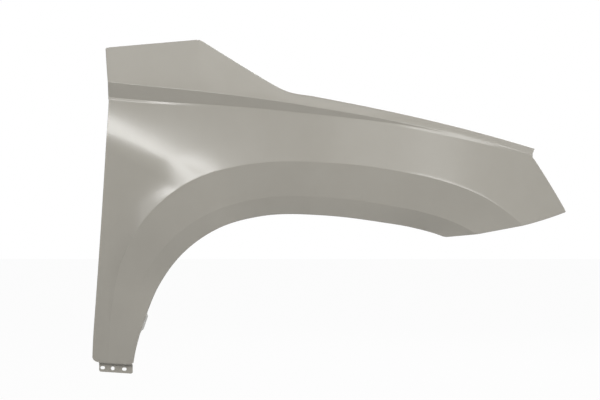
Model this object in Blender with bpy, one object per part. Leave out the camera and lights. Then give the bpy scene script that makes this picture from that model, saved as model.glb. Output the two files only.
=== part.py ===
"""Right-hand front fender of a car: one deep-drawn sheet of primed steel.

The panel is drawn about the wheel's centre, in metres: +X points to the front of the car, +Z up and
+Y inboard, so the painted side faces -Y. The finished object is then placed with its origin on the
underside of the mounting pad in the gutter beside the hood.

The sheet is lofted. Stations run from the foot of the leg round the wheel arch to the bumper, and
each station is a section that crosses the rails: arch edge, lip crease, flare crest, the edge of the
side panel (door edge, shoulder or headlamp edge), shoulder crease, crest and hood edge. Every free
edge is then folded inboard, the folds are punched, and the sheet gets its thickness.
"""

import math
from bisect import bisect_right

import bmesh
import bpy
from mathutils import Vector

INBOARD = Vector((0.0, 1.0, 0.0))
FORWARD = Vector((1.0, 0.0, 0.0))
UP = Vector((0.0, 0.0, 1.0))

# Sheet and folds
SHEET = 0.0008
BEND_RADIUS = 0.0022
BEND_STEPS = 2

# Wheel arch: radius of the cut edge, and the bands between it and the crest of the flare
ARCH_RADIUS = 0.4203
ARCH_SHARES = (
    (176, 1.031), (158, 1.031), (145, 1.053), (132, 1.0665), (119, 1.0585), (106, 1.029),
    (90, 0.999), (78, 1.005), (67, 1.038), (57, 1.099), (48, 1.167), (34, 1.265),
)
ARCH_END_ANGLE = 47.8
LIP_BAND = 0.042
LIP_BAND_SHARES = ((176, 0.62), (158, 0.85), (145, 0.96), (120, 0.97), (90, 1.01), (60, 1.03), (34, 1.05))
FLARE_BAND = 0.088
FLARE_BAND_SHARES = (
    (176, 0.30), (165, 0.42), (158, 0.53), (150, 0.67), (143, 0.79), (136, 0.89), (127, 0.977), (118, 1.012),
    (110, 0.99), (96, 0.95), (82, 0.95), (64, 1.005), (48, 1.03), (34, 0.99),
)

# How far the flare crest stands out from the lip crease, and the lip crease from the arch edge
FLARE_DEPTH = 0.014
LIP_DEPTH = 0.014
ARCH_DEPTH_SHARES = (
    (176, 0.0), (166, 0.04), (157, 0.22), (150, 0.52), (143, 0.84), (135, 1.0), (120, 1.0), (70, 1.0), (56, 1.3),
    (44, 1.6), (34, 1.7),
)

# Swell that carries the side panel out to the flare crest behind the wheel
SWELL = 0.0115
SWELL_WIDTH = 0.075
SWELL_SHARES = (
    (158, 0.0), (150, 0.10), (142, 0.56), (134, 1.0), (127, 0.72), (120, 0.28), (113, 0.06), (106, 0.0), (98, 0.0),
)

# Door edge, from the shoulder down to the sill
LEG_WIDTH = 0.0669
DOOR_REACH = ARCH_RADIUS + LEG_WIDTH
DOOR_LEAN = 0.042
DOOR_LEAN_POWER = 1.2
SILL_HEIGHT = 0.060
SILL_FALL = 0.032
LEG_CORNER_RADIUS = 0.015

# Shoulder crease, above the top of the wheel arch
SIDE_HEIGHT = 0.2425
SHOULDER_HEIGHT = ARCH_RADIUS + SIDE_HEIGHT
SHOULDER_TILT = 0.0400
SHOULDER_DROOP = 0.0497
SHOULDER_SWAY = 0.0036
SHOULDER_SWAY_SHARES = (
    (-1.0, 0.65), (-0.80, 0.42), (-0.55, 0.90), (-0.28, 1.10), (-0.13, 0.70), (0.0, 0.25), (0.13, 0.0), (0.26, 0.10),
    (0.40, 0.45), (0.60, 0.25), (1.0, 0.10),
)
SHOULDER_INSET = 0.011
SHOULDER_DOOR_INSET = 0.031

# Side panel below the shoulder: its slope just under the crease and at the haunch, where it is steepest
DOOR_SLOPE = 0.04
CROWN_SLOPE = 0.075
HAUNCH_SLOPE = 0.195
HAUNCH_POWER = 1.2
HAUNCH_AT_DOOR = 0.070
HAUNCH_FALL = 0.209
HAUNCH_RUNOUT = 0.060
TUCK = 0.024
TUCK_BELOW = 0.200

# Ledge under the shoulder crease, and the slope that it has along the panel
LEDGE_HEIGHT = 0.0055
LEDGE_SLOPE_SHARES = (
    (-1.0, 0.85), (-0.85, 0.85), (-0.69, 0.52), (-0.54, 0.32), (-0.40, 0.25), (0.25, 0.25), (0.40, 0.9),
    (0.60, 1.3), (0.80, 0.9), (1.0, 0.3),
)
LEDGE_SLOPE = 0.26

# Leaning band between the shoulder crease and the crest above it
CREST_BAND = 0.037
CREST_BAND_SHARES = (
    (-1.0, 0.97), (-0.80, 0.935), (-0.55, 0.815), (-0.25, 0.63), (-0.10, 0.55), (0.0, 0.46), (0.13, 0.36),
    (0.26, 0.25), (0.39, 0.13), (0.55, 0.10), (1.0, 0.10),
)
CREST_SLOPE = 0.34
CREST_SLOPE_SHARES = ((-1.0, 1.0), (0.0, 1.05), (0.30, 1.0), (0.45, 0.0), (0.60, -1.4), (1.0, -1.4))

# Upper rear corner, between the door edge and the cowl
CORNER_LENGTH = 0.2178
CORNER_HEIGHT = 0.1841
COWL_REACH = DOOR_REACH - CORNER_LENGTH
COWL_HEIGHT = SHOULDER_HEIGHT + CORNER_HEIGHT
COWL_FALL = 0.0180
COWL_SLOPE = 0.64
CORNER_LEAN = 0.0105
COWL_INSET = 0.070
CORNER_INSET = 0.005
CORNER_CROWN = 0.0035

# Hood edge, measured from the shoulder
HOOD_RISE = 0.0432
HOOD_NOSE_RISE = 0.0185
HOOD_BLEND = 0.016
HOOD_INSET = 0.025
HOOD_TIP = 0.0075
HOOD_CROWN = 0.0004

# Nose: headlamp edge ahead of the wheel arch, and bumper edge
FRONT_LENGTH = 0.1357
HEADLAMP_REACH = ARCH_RADIUS + FRONT_LENGTH
HEADLAMP_BOW = 0.001
NOSE_RAKE = 0.0897
NOSE_REACH = HEADLAMP_REACH + NOSE_RAKE
NOSE_LIFT = 0.0067
NOSE_HEIGHT = ARCH_RADIUS + NOSE_LIFT
NOSE_SWEEP = 0.200
NOSE_SWEEP_POWER = 2.2
BUMPER_BOW = 0.011

# Folded edges
LIP_RETURN = 0.013
LIP_LEAN_ANGLE = 8
DOOR_RETURN = 0.015
DOOR_LEAN_ANGLE = 6
CORNER_RETURN = 0.014
COWL_RETURN = 0.013
COWL_LEAN_ANGLE = 16
GUTTER_DEPTH = 0.030
GUTTER_WIDTH = 0.027
HEADLAMP_RETURN = 0.014
BUMPER_RETURN = 0.019
SILL_TAB_JOGGLE = 0.006
SILL_TAB_HEIGHT = 0.0200
SILL_TAB_CORNER = 0.003

# Tabs that the folds widen into, and where the middle of each stands along its segment
TAB_SHOULDER = 0.010
LINER_TAB_WIDTH = 0.022
LINER_TAB_LENGTH = 0.033
LINER_TAB_LEAN_ANGLE = -9
LINER_TAB_SHARES = (0.305,)
DOOR_TAB_WIDTH = 0.034
DOOR_TAB_LENGTH = 0.070
DOOR_TAB_SHARES = (0.31, 0.86)
CORNER_TAB_WIDTH = 0.032
CORNER_TAB_LENGTH = 0.060
CORNER_TAB_SHARES = (0.5,)
GUTTER_EAR_WIDTH = 0.035
GUTTER_EAR_LENGTH = 0.045
GUTTER_EAR_SHARES = (0.22, 0.52, 0.82)
HEADLAMP_TAB_WIDTH = 0.028
HEADLAMP_TAB_LENGTH = 0.050
HEADLAMP_TAB_SHARES = (0.5,)

# Mounting pad in the gutter, at the foot of the cowl's slope
COWL_LENGTH = 0.1414
PAD_LENGTH = 0.082
PAD_REAR = COWL_REACH - COWL_LENGTH
PAD_FRONT = PAD_REAR - PAD_LENGTH

# Punched holes
BOLT_HOLE = 0.009
PAD_HOLE = 0.011
CLIP_HOLE = 0.0065
SLOT_LENGTH = 0.014
SLOT_WIDTH = 0.007
SILL_SLOT_LENGTH = 0.011
SILL_SLOT_WIDTH = 0.0075
HOLE_SIDES = 16
PUNCH_REACH = 0.005

# Where the holes stand: along their fold, and across its flat
SILL_SLOT_SHARES = (0.25, 0.895)
SILL_BOLT_SHARE = 0.595
BUMPER_SLOT_SHARES = (0.12, 0.36, 0.60, 0.84)
LIP_CLIP_SHARES = (0.30, 0.45, 0.60, 0.75, 0.90)
PAD_HOLE_SHARE = 0.27
PAD_POINT_SHARE = 0.72
ACROSS_SHARE = 0.5
TAB_ACROSS_SHARE = 0.58

# Sections along the sheet: stations between one break and the next, and rows between the rails
SEGMENTS = ("door", "corner", "cowl", "pad", "hood", "headlamp")
STATIONS = (20, 10, 6, 4, 19, 8)
STATION_GAP_SHARE = 0.35
ARCH_BREAK_ANGLES = (127, 110, 99, 92.7, 57)
CREASE_BREAK_ANGLES = (127, 110.5, 99.3, 92.9, 54)
CREST_BREAK_ANGLES = (126, 111, 99.8, 93.2, 49)
SILL_SEARCH_ANGLES = (185, 150)
BUMPER_SEARCH_ANGLES = (35, 56)
LIP_ROWS = 2
FLARE_ROWS = 4
PANEL_ROWS = 12
CREST_ROWS = 1
UPPER_ROWS = 4
EDGE_ROW = LIP_ROWS + FLARE_ROWS + PANEL_ROWS
SHARP_ANGLE = 50

PRIMER_COLOUR = (0.402, 0.392, 0.352, 1.0)
PRIMER_ROUGHNESS = 0.42


def clear_scene():
    for item in list(bpy.data.objects):
        bpy.data.objects.remove(item, do_unlink=True)


def read(table, place):
    """The value of a table of (place, value) rows at a place, on a smooth curve through the rows."""
    rows = sorted(table)
    last = len(rows) - 1
    place = min(max(place, rows[0][0]), rows[last][0])
    low = min(bisect_right([row[0] for row in rows], place) - 1, last - 1)

    def slope(index):
        before = rows[max(index - 1, 0)]
        after = rows[min(index + 1, last)]
        return (after[1] - before[1]) / (after[0] - before[0])

    span = rows[low + 1][0] - rows[low][0]
    part = (place - rows[low][0]) / span
    square, cube = part**2, part**3
    return (
        (2 * cube - 3 * square + 1) * rows[low][1]
        + (3 * square - 2 * cube) * rows[low + 1][1]
        + (cube - 2 * square + part) * span * slope(low)
        + (cube - square) * span * slope(low + 1)
    )


def mix(start, end, part):
    return start + (end - start) * part


def signed_share(x):
    """A place along the car as a share of the panel's reach: -1 at the door edge, 1 at the headlamp."""
    return x / DOOR_REACH if x < 0 else x / HEADLAMP_REACH


# Depth of the painted surface


def plan_sweep(x):
    """How far the body has turned inboard towards the nose."""
    return NOSE_SWEEP * (max(x, 0.0) / NOSE_REACH) ** NOSE_SWEEP_POWER


def shoulder_level(x):
    level = SHOULDER_HEIGHT - SHOULDER_TILT * x / DOOR_REACH
    return level - SHOULDER_DROOP * (max(x, 0.0) / HEADLAMP_REACH) ** 2


def shoulder_height(x):
    return shoulder_level(x) + SHOULDER_SWAY * read(SHOULDER_SWAY_SHARES, signed_share(x))


def shoulder_inset(x):
    return SHOULDER_INSET + SHOULDER_DOOR_INSET * max(-x, 0.0) / DOOR_REACH


def haunch_drop(x, below):
    """How far the side panel has come out from the shoulder at a distance below it."""
    forward = min(max(1.0 + x / DOOR_REACH, 0.0), 1.0)
    first = mix(DOOR_SLOPE, CROWN_SLOPE, forward)
    steepest = HAUNCH_AT_DOOR + HAUNCH_FALL * forward
    part = min(below, steepest) / steepest
    out = first * min(below, steepest)
    out += (HAUNCH_SLOPE - first) * steepest * max(part, 0.0) ** (HAUNCH_POWER + 1) / (HAUNCH_POWER + 1)
    past = min(max(below - steepest, 0.0), HAUNCH_RUNOUT)
    return out + HAUNCH_SLOPE * (past - past**2 / (2 * HAUNCH_RUNOUT))


def leg_tuck(x, below):
    """How far the leg turns back in towards the sill."""
    reach = SHOULDER_HEIGHT + SHOULDER_TILT - SILL_HEIGHT - TUCK_BELOW
    part = max(below - TUCK_BELOW, 0.0) / reach
    return TUCK * part**2 * min(max(-x, 0.0) / DOOR_REACH, 1.0)


def panel_depth(x, z):
    below = shoulder_height(x) - z
    return plan_sweep(x) + shoulder_inset(x) - haunch_drop(x, below) + leg_tuck(x, below)


def swell_at(angle, distance):
    part = max(1.0 - distance / SWELL_WIDTH, 0.0)
    return SWELL * read(SWELL_SHARES, angle) * part**2


# Rails, as places in the side view


def arch_radius(angle):
    return ARCH_RADIUS * read(ARCH_SHARES, angle) + BEND_RADIUS


def crease_radius(angle):
    return arch_radius(angle) + LIP_BAND * read(LIP_BAND_SHARES, angle)


def crest_radius(angle):
    return crease_radius(angle) + FLARE_BAND * read(FLARE_BAND_SHARES, angle)


def polar(radius_at, angle):
    radius = radius_at(angle)
    return radius * math.cos(math.radians(angle)), radius * math.sin(math.radians(angle))


def sill_line(x):
    """Height of the leg's foot, which falls towards the wheel."""
    return SILL_HEIGHT - SILL_FALL * (x + DOOR_REACH) / DOOR_REACH


def bumper_line(x):
    """Height of the bumper edge, which bows down between the arch and the nose."""
    start_x, start_z = polar(arch_radius, ARCH_END_ANGLE)
    part = (x - start_x) / (NOSE_REACH - start_x)
    return mix(start_z, NOSE_HEIGHT, part) - BUMPER_BOW * 4 * part * (1 - part)


def meeting_angle(radius_at, line, below_angle, above_angle):
    """The angle where a rail crosses a line, between an angle below the line and one above it."""
    for _ in range(50):
        middle = (below_angle + above_angle) / 2
        x, z = polar(radius_at, middle)
        if z < line(x):
            below_angle = middle
        else:
            above_angle = middle
    return (below_angle + above_angle) / 2


def foot_angle(radius_at):
    """The angle where a rail reaches the foot of the leg."""
    return meeting_angle(radius_at, sill_line, *SILL_SEARCH_ANGLES)


def door_edge(part):
    """The door edge from the sill (0) to the ledge under the shoulder (1)."""
    top = shoulder_height(-DOOR_REACH) - LEDGE_HEIGHT
    foot = sill_line(-DOOR_REACH) + LEG_CORNER_RADIUS
    z = mix(foot, top, part)
    return -DOOR_REACH - DOOR_LEAN * (1 - part) ** DOOR_LEAN_POWER, z


def headlamp_edge(part):
    """The headlamp edge from the ledge under the shoulder (0) to the nose (1)."""
    bow = HEADLAMP_BOW * 4 * part * (1 - part)
    top = shoulder_height(HEADLAMP_REACH) - LEDGE_HEIGHT
    return mix(HEADLAMP_REACH, NOSE_REACH, part) + bow, mix(top, NOSE_HEIGHT, part) + bow


def hood_line(x):
    """The hood edge ahead of the cowl."""
    part = max(x, 0.0) / HEADLAMP_REACH
    return shoulder_level(x) + mix(HOOD_RISE, HOOD_NOSE_RISE, 1 - (1 - min(part, 1.0)) ** 2)


def upper_edge(x):
    """Height of the top edge: the upper corner, the slope down from the cowl and the hood edge."""
    if x <= -COWL_REACH:
        return COWL_HEIGHT - COWL_FALL * (-x - COWL_REACH) / (DOOR_REACH - COWL_REACH)
    slope = COWL_HEIGHT - COWL_SLOPE * (x + COWL_REACH)
    hood = hood_line(x)
    return (slope + hood + math.hypot(slope - hood, HOOD_BLEND)) / 2


def upper_inset(x):
    """Depth of the top edge, which comes out from the cowl to the hood."""
    if x <= -COWL_REACH:
        return COWL_INSET + CORNER_INSET * (-x - COWL_REACH) / (DOOR_REACH - COWL_REACH)
    part = min((x + COWL_REACH) / (COWL_REACH - PAD_FRONT), 1.0)
    return plan_sweep(x) + mix(COWL_INSET, HOOD_INSET, part**2 * (3 - 2 * part))


# Stations


def break_places():
    """The outer point and the three rail angles at each break between the segments of stations."""
    arch = [foot_angle(arch_radius), *ARCH_BREAK_ANGLES, ARCH_END_ANGLE]
    crease = [
        foot_angle(crease_radius),
        *CREASE_BREAK_ANGLES,
        meeting_angle(crease_radius, bumper_line, *BUMPER_SEARCH_ANGLES),
    ]
    crest = [
        foot_angle(crest_radius),
        *CREST_BREAK_ANGLES,
        meeting_angle(crest_radius, bumper_line, *BUMPER_SEARCH_ANGLES),
    ]
    return arch, crease, crest


def outer_place(segment, part):
    """The outer edge of the side panel within a segment."""
    name = SEGMENTS[segment]
    if name == "door":
        return door_edge(part)
    if name == "headlamp":
        return headlamp_edge(part)
    stops = (-DOOR_REACH, -COWL_REACH, -PAD_REAR, -PAD_FRONT, HEADLAMP_REACH)
    x = mix(stops[segment - 1], stops[segment], part)
    return x, shoulder_height(x) - LEDGE_HEIGHT


def foot_edge(start, end, part):
    """The leg's foot from the flare crest: along the sill line, then round the corner to the door edge."""
    turn_x = end[0] + LEG_CORNER_RADIUS
    if part <= 0.5:
        x = mix(start[0], turn_x, 2 * part)
        return x, mix(start[1], sill_line(turn_x), 2 * part)
    angle = math.radians(90) * (2 * part - 1)
    level = sill_line(turn_x)
    x = turn_x - LEG_CORNER_RADIUS * math.sin(angle)
    return x, level + (end[1] - level) * (1 - math.cos(angle))


def section(segment, part, angles, first):
    """One station: the points from the arch edge to the outer edge of the sheet."""
    arch_angle, crease_angle, crest_angle = angles
    arch, crease, crest = (
        polar(arch_radius, arch_angle),
        polar(crease_radius, crease_angle),
        polar(crest_radius, crest_angle),
    )
    outer = outer_place(segment, part)
    crest_depth = panel_depth(*crest) - swell_at(crest_angle, 0.0)
    crest_relief = crest_depth - plan_sweep(crest[0])
    share = read(ARCH_DEPTH_SHARES, crest_angle)
    crease_depth = plan_sweep(crease[0]) + crest_relief + FLARE_DEPTH * share
    arch_depth = plan_sweep(arch[0]) + crest_relief + (FLARE_DEPTH + LIP_DEPTH) * share
    rails = [
        Vector((arch[0], arch_depth, arch[1])),
        Vector((crease[0], crease_depth, crease[1])),
        Vector((crest[0], crest_depth, crest[1])),
    ]
    points = [rails[0].lerp(rails[1], row / LIP_ROWS) for row in range(LIP_ROWS)]
    points += [rails[1].lerp(rails[2], row / FLARE_ROWS) for row in range(FLARE_ROWS)]
    length = math.dist(crest, outer)
    for row in range(PANEL_ROWS + 1):
        across = row / PANEL_ROWS
        if first:
            x, z = foot_edge(crest, outer, across)
        else:
            x, z = mix(crest[0], outer[0], across), mix(crest[1], outer[1], across)
        points.append(Vector((x, panel_depth(x, z) - swell_at(crest_angle, across * length), z)))
    if SEGMENTS[segment] == "door" and part < 1:
        return points
    if SEGMENTS[segment] == "headlamp" and part > 0:
        return points
    return points + upper_points(outer[0], points[-1])


def upper_points(x, ledge):
    """The station above the side panel: shoulder crease, crest, and the face up to the top edge."""
    place = signed_share(x)
    crease = ledge + Vector((0.0, LEDGE_SLOPE * read(LEDGE_SLOPE_SHARES, place) * LEDGE_HEIGHT, LEDGE_HEIGHT))
    band = CREST_BAND * read(CREST_BAND_SHARES, place)
    crest = crease + Vector((0.0, -CREST_SLOPE * read(CREST_SLOPE_SHARES, place) * band, band))
    if x <= -COWL_REACH:
        lean = -CORNER_LEAN * (x + COWL_REACH) / (COWL_REACH - DOOR_REACH)
        crown = CORNER_CROWN
    else:
        lean = HOOD_TIP * (x + COWL_REACH) / (HEADLAMP_REACH + COWL_REACH)
        crown = mix(CORNER_CROWN, HOOD_CROWN, (x + COWL_REACH) / (HEADLAMP_REACH + COWL_REACH))
    edge_x = x + lean
    edge = Vector((edge_x, upper_inset(edge_x), upper_edge(edge_x)))
    across = FORWARD.cross(edge - crest).normalized()
    points = [crease.lerp(crest, row / CREST_ROWS) for row in range(CREST_ROWS)]
    for row in range(UPPER_ROWS + 1):
        part = row / UPPER_ROWS
        points.append(crest.lerp(edge, part) + across * crown * 4 * part * (1 - part))
    return points


def run_length(fold_name):
    """Length of the stretch of edge in which a fold has its tabs."""
    if fold_name == "lip":
        return ARCH_RADIUS * math.radians(foot_angle(arch_radius) - ARCH_BREAK_ANGLES[0])
    if fold_name == "door":
        return math.dist(door_edge(0), door_edge(1))
    if fold_name == "corner":
        return DOOR_REACH - COWL_REACH
    if fold_name == "hood":
        return HEADLAMP_REACH + PAD_FRONT
    return math.dist(headlamp_edge(0), headlamp_edge(1))


def fold_tabs(fold_name):
    """The segment that a fold's tabs stand in, the shares where their middles stand, and their length."""
    return {
        "lip": ("door", LINER_TAB_SHARES, LINER_TAB_LENGTH),
        "door": ("door", DOOR_TAB_SHARES, DOOR_TAB_LENGTH),
        "corner": ("corner", CORNER_TAB_SHARES, CORNER_TAB_LENGTH),
        "hood": ("hood", GUTTER_EAR_SHARES, GUTTER_EAR_LENGTH),
        "headlamp": ("headlamp", HEADLAMP_TAB_SHARES, HEADLAMP_TAB_LENGTH),
    }[fold_name]


def tab_share(fold_name, reach):
    """How far a fold has widened into a tab at a reach: 0 where it is plain, 1 on the tab."""
    name, middles, length = fold_tabs(fold_name)
    run = run_length(fold_name)
    segment = SEGMENTS.index(name)
    past = min(abs(reach - segment - middle) * run - length / 2 for middle in middles)
    return 1 - min(max(past / TAB_SHOULDER, 0.0), 1.0)


def tab_corners(fold_name):
    """The shares of a segment where its tabs start to widen, are wide, and are plain again."""
    _, middles, length = fold_tabs(fold_name)
    run = run_length(fold_name)
    reaches = (-length / 2 - TAB_SHOULDER, -length / 2, length / 2, length / 2 + TAB_SHOULDER)
    return [middle + reach / run for middle in middles for reach in reaches]


def station_places(segment):
    """The shares of a segment where its stations stand: its tabs' corners, and even steps between them."""
    name = SEGMENTS[segment]
    count = STATIONS[segment]
    gap = STATION_GAP_SHARE / count
    places = [0.0]
    for fold_name in ("door", "lip", "corner", "hood", "headlamp"):
        if fold_tabs(fold_name)[0] != name:
            continue
        for corner in tab_corners(fold_name):
            if all(abs(corner - place) > gap / 2 for place in places):
                places.append(corner)
    for step in range(count):
        if all(abs(step / count - place) > gap for place in places):
            places.append(step / count)
    return sorted(places)


def all_sections():
    """Every station's reach and points, and the index of the first station in each segment.

    A station's reach is the number of its segment plus its share of that segment.
    """
    breaks = break_places()
    reaches, sections, first = [], [], {}
    for segment, name in enumerate(SEGMENTS):
        first[name] = len(sections)
        places = station_places(segment)
        if name == SEGMENTS[-1]:
            places.append(1.0)
        for part in places:
            angles = [mix(rail[segment], rail[segment + 1], part) for rail in breaks]
            sections.append(section(segment, part, angles, first=not sections))
            reaches.append(segment + part)
    first["end"] = len(sections) - 1
    place_last_station(sections[-1])
    return reaches, sections, first


def place_last_station(points):
    """Lays the last station along the bumper edge, which bows between the flare crest and the nose."""
    for point in points[LIP_ROWS + FLARE_ROWS :]:
        point.z = bumper_line(point.x)
        point.y = panel_depth(point.x, point.z)


# Folds


def fold(start, tangent, direction, length):
    """A bend from the way the sheet runs into a new direction, then a flat of the given length."""
    tangent = tangent.normalized()
    direction = direction.normalized()
    turn = tangent.angle(direction)
    side = (direction - tangent * tangent.dot(direction)).normalized()
    points = []
    for step in range(1, BEND_STEPS + 1):
        angle = turn * step / BEND_STEPS
        points.append(start + BEND_RADIUS * (tangent * math.sin(angle) + side * (1 - math.cos(angle))))
    points.append(points[-1] + direction * length)
    return points


def tilted(toward, angle):
    """The inboard direction, tilted by an angle towards another."""
    return INBOARD * math.cos(math.radians(angle)) + toward * math.sin(math.radians(angle))


def radial(point):
    return Vector((point.x, 0.0, point.z)).normalized()


class Sheet:
    """The lofted sheet: the mesh, each station's reach, points and vertices, and each segment's start."""

    def __init__(self):
        self.mesh = bmesh.new()
        self.reaches, self.points, self.first = all_sections()
        self.grid = [[self.mesh.verts.new(point) for point in points] for points in self.points]
        self.join(self.grid)

    def join(self, columns):
        for left, right in zip(columns, columns[1:]):
            for row in range(min(len(left), len(right)) - 1):
                self.mesh.faces.new((left[row], right[row], right[row + 1], left[row + 1]))

    def add_fold(self, places, folds):
        """Folds an edge: each column is the sheet's vertex at a place (station, row) and the fold's points."""
        columns = []
        for (index, row), points in zip(places, folds):
            columns.append([self.grid[index][row]] + [self.mesh.verts.new(point) for point in points])
        self.join(columns)
        return columns


def add_lip(sheet):
    """The return of the arch edge, which widens and turns out into the liner's tab on the leg."""
    places = [(index, 0) for index in range(1, sheet.first["end"])]
    folds = []
    for index, _ in places:
        edge, above = sheet.points[index][:2]
        share = tab_share("lip", sheet.reaches[index])
        width = mix(LIP_RETURN, LINER_TAB_WIDTH, share)
        lean = mix(LIP_LEAN_ANGLE, LINER_TAB_LEAN_ANGLE, share)
        folds.append(fold(edge, edge - above, tilted(radial(edge), lean), width))
    return sheet.add_fold(places, folds)


def add_door(sheet):
    """The return of the door edge and of the corner's rear edge above it, with the door edge's tabs."""
    corner = sheet.first["corner"]
    places = [(index, EDGE_ROW) for index in range(1, corner + 1)]
    places += [(corner, row) for row in range(EDGE_ROW + 1, len(sheet.points[corner]) - 1)]
    folds = []
    for index, row in places:
        edge = sheet.points[index][row]
        inner = sheet.points[index][row - 1] if row == EDGE_ROW else sheet.points[index + 1][row]
        share = tab_share("door", sheet.reaches[index])
        width = mix(DOOR_RETURN, DOOR_TAB_WIDTH, share)
        folds.append(fold(edge, edge - inner, tilted(FORWARD, DOOR_LEAN_ANGLE), width))
    return sheet.add_fold(places, folds)


def add_corner(sheet):
    """The return along the top of the upper corner, with its tab."""
    indices = range(sheet.first["corner"] + 1, sheet.first["cowl"])
    folds = []
    for index in indices:
        below, edge = sheet.points[index][-2:]
        width = mix(CORNER_RETURN, CORNER_TAB_WIDTH, tab_share("corner", sheet.reaches[index]))
        folds.append(fold(edge, edge - below, tilted(-UP, LIP_LEAN_ANGLE), width))
    return sheet.add_fold([(index, -1) for index in indices], folds)


def gutter_floor(x):
    """Height of the gutter: level along the mounting pad, then a set depth below the hood edge."""
    return hood_line(max(x, -PAD_FRONT)) - GUTTER_DEPTH


def cowl_fold(edge, below, part):
    """The return along the cowl's slope, which turns down and deepens into the wall of the gutter."""
    wall = upper_edge(-PAD_REAR) - gutter_floor(-PAD_REAR) - 2 * BEND_RADIUS
    lean = mix(COWL_LEAN_ANGLE, 90, part)
    return fold(edge, edge - below, tilted(-UP, lean), mix(COWL_RETURN, wall, part**2))


def gutter_fold(edge, below, ear_share):
    """The wall of the gutter beside the hood, then its floor, with an ear round each bolt."""
    wall = fold(edge, edge - below, -UP, 0.0)[:-1]
    foot = wall[-1].copy()
    foot.z = gutter_floor(edge.x) + BEND_RADIUS
    width = mix(GUTTER_WIDTH, GUTTER_EAR_WIDTH, ear_share)
    return wall + [foot] + fold(foot, -UP, INBOARD, width)


def add_gutter(sheet):
    """The folded edge from the cowl to the headlamp. The columns returned are those of the gutter."""
    start, pad, end = sheet.first["cowl"] + 1, sheet.first["pad"], sheet.first["headlamp"]
    folds = []
    for index in range(start, end):
        below, edge = sheet.points[index][-2:]
        reach = sheet.reaches[index]
        if index < pad:
            folds.append(cowl_fold(edge, below, reach - SEGMENTS.index("cowl")))
        else:
            folds.append(gutter_fold(edge, below, tab_share("hood", reach)))
    return sheet.add_fold([(index, -1) for index in range(start, end)], folds)[pad - start :]


def add_headlamp(sheet):
    """The return of the headlamp edge, with its tab."""
    indices = range(sheet.first["headlamp"] + 1, sheet.first["end"])
    folds = []
    for index in indices:
        inner, edge = sheet.points[index][-2:]
        width = mix(HEADLAMP_RETURN, HEADLAMP_TAB_WIDTH, tab_share("headlamp", sheet.reaches[index]))
        folds.append(fold(edge, edge - inner, tilted(-FORWARD, DOOR_LEAN_ANGLE), width))
    return sheet.add_fold([(index, -1) for index in indices], folds)


def add_bumper(sheet):
    """The return of the bumper edge."""
    end = sheet.first["end"]
    folds = []
    for row in range(1, EDGE_ROW):
        edge, above = sheet.points[end][row], sheet.points[end - 1][row]
        folds.append(fold(edge, edge - above, tilted(UP, LIP_LEAN_ANGLE), BUMPER_RETURN))
    return sheet.add_fold([(end, row) for row in range(1, EDGE_ROW)], folds)


def add_sill_tab(sheet):
    """The joggle inboard under the leg, then the flat tab that is bolted to the sill."""
    rows = range(LIP_ROWS + FLARE_ROWS + PANEL_ROWS // 2 + 1)
    tab_depth = max(sheet.points[0][row].y for row in rows) + SILL_TAB_JOGGLE + 2 * BEND_RADIUS
    folds = []
    for row in rows:
        edge, above = sheet.points[0][row], sheet.points[1][row]
        step = fold(edge, edge - above, INBOARD, 0.0)[:-1]
        inner = step[-1].copy()
        inner.y = tab_depth - BEND_RADIUS
        cut = SILL_TAB_CORNER if row in (rows[0], rows[-1]) else 0.0
        folds.append(step + [inner] + fold(inner, INBOARD, -UP, SILL_TAB_HEIGHT - cut))
    return sheet.add_fold([(0, row) for row in rows], folds)


# Punched holes


def slot_outline(length, width):
    """A slot about the origin: two half circles and the straight sides between them."""
    half = HOLE_SIDES // 2
    reach = (length - width) / 2
    outline = []
    for end in (0, 1):
        for step in range(half + 1):
            angle = math.pi * (step / half + end) - math.pi / 2
            shift = -reach if end else reach
            if end and step in (0, half) and reach == 0:
                continue
            outline.append((shift + width / 2 * math.cos(angle), width / 2 * math.sin(angle)))
    return outline


def length_shares(columns):
    """Where each column of a fold stands, as a share of the fold's length."""
    lengths = [0.0]
    for left, right in zip(columns, columns[1:]):
        lengths.append(lengths[-1] + (right[-2].co - left[-2].co).length)
    return [length / lengths[-1] for length in lengths]


class Flat:
    """A place on the flat of a fold: a point on it, and the directions along, across and through it."""

    def __init__(self, columns, stops, stop, across):
        left = min(max(bisect_right(stops, stop) - 1, 0), len(stops) - 2)
        part = (stop - stops[left]) / (stops[left + 1] - stops[left])
        near = columns[left][-2].co.lerp(columns[left + 1][-2].co, part)
        far = columns[left][-1].co.lerp(columns[left + 1][-1].co, part)
        self.point = near.lerp(far, across)
        self.across = (far - near).normalized()
        along = columns[left + 1][-2].co - columns[left][-2].co
        self.along = (along - self.across * along.dot(self.across)).normalized()
        self.through = self.along.cross(self.across)


def add_punch(bm, flat, length, width):
    """A punch through the flat of a fold."""
    outline = [flat.point + flat.along * x + flat.across * y for x, y in slot_outline(length, width)]
    lower = [bm.verts.new(point - flat.through * PUNCH_REACH) for point in outline]
    upper = [bm.verts.new(point + flat.through * PUNCH_REACH) for point in outline]
    bm.faces.new(lower[::-1])
    bm.faces.new(upper)
    for index in range(len(outline)):
        after = (index + 1) % len(outline)
        bm.faces.new((lower[index], lower[after], upper[after], upper[index]))


def punch_tabs(bm, columns, sheet, start, fold_name, length, width):
    """Punches each tab of a fold whose first column stands at a station."""
    name, middles, _ = fold_tabs(fold_name)
    reaches = sheet.reaches[start : start + len(columns)]
    for middle in middles:
        flat = Flat(columns, reaches, SEGMENTS.index(name) + middle, TAB_ACROSS_SHARE)
        add_punch(bm, flat, length, width)


def punch_row(bm, columns, shares, length, width):
    """Punches a fold at shares of its length."""
    for share in shares:
        add_punch(bm, Flat(columns, length_shares(columns), share, ACROSS_SHARE), length, width)


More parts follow.
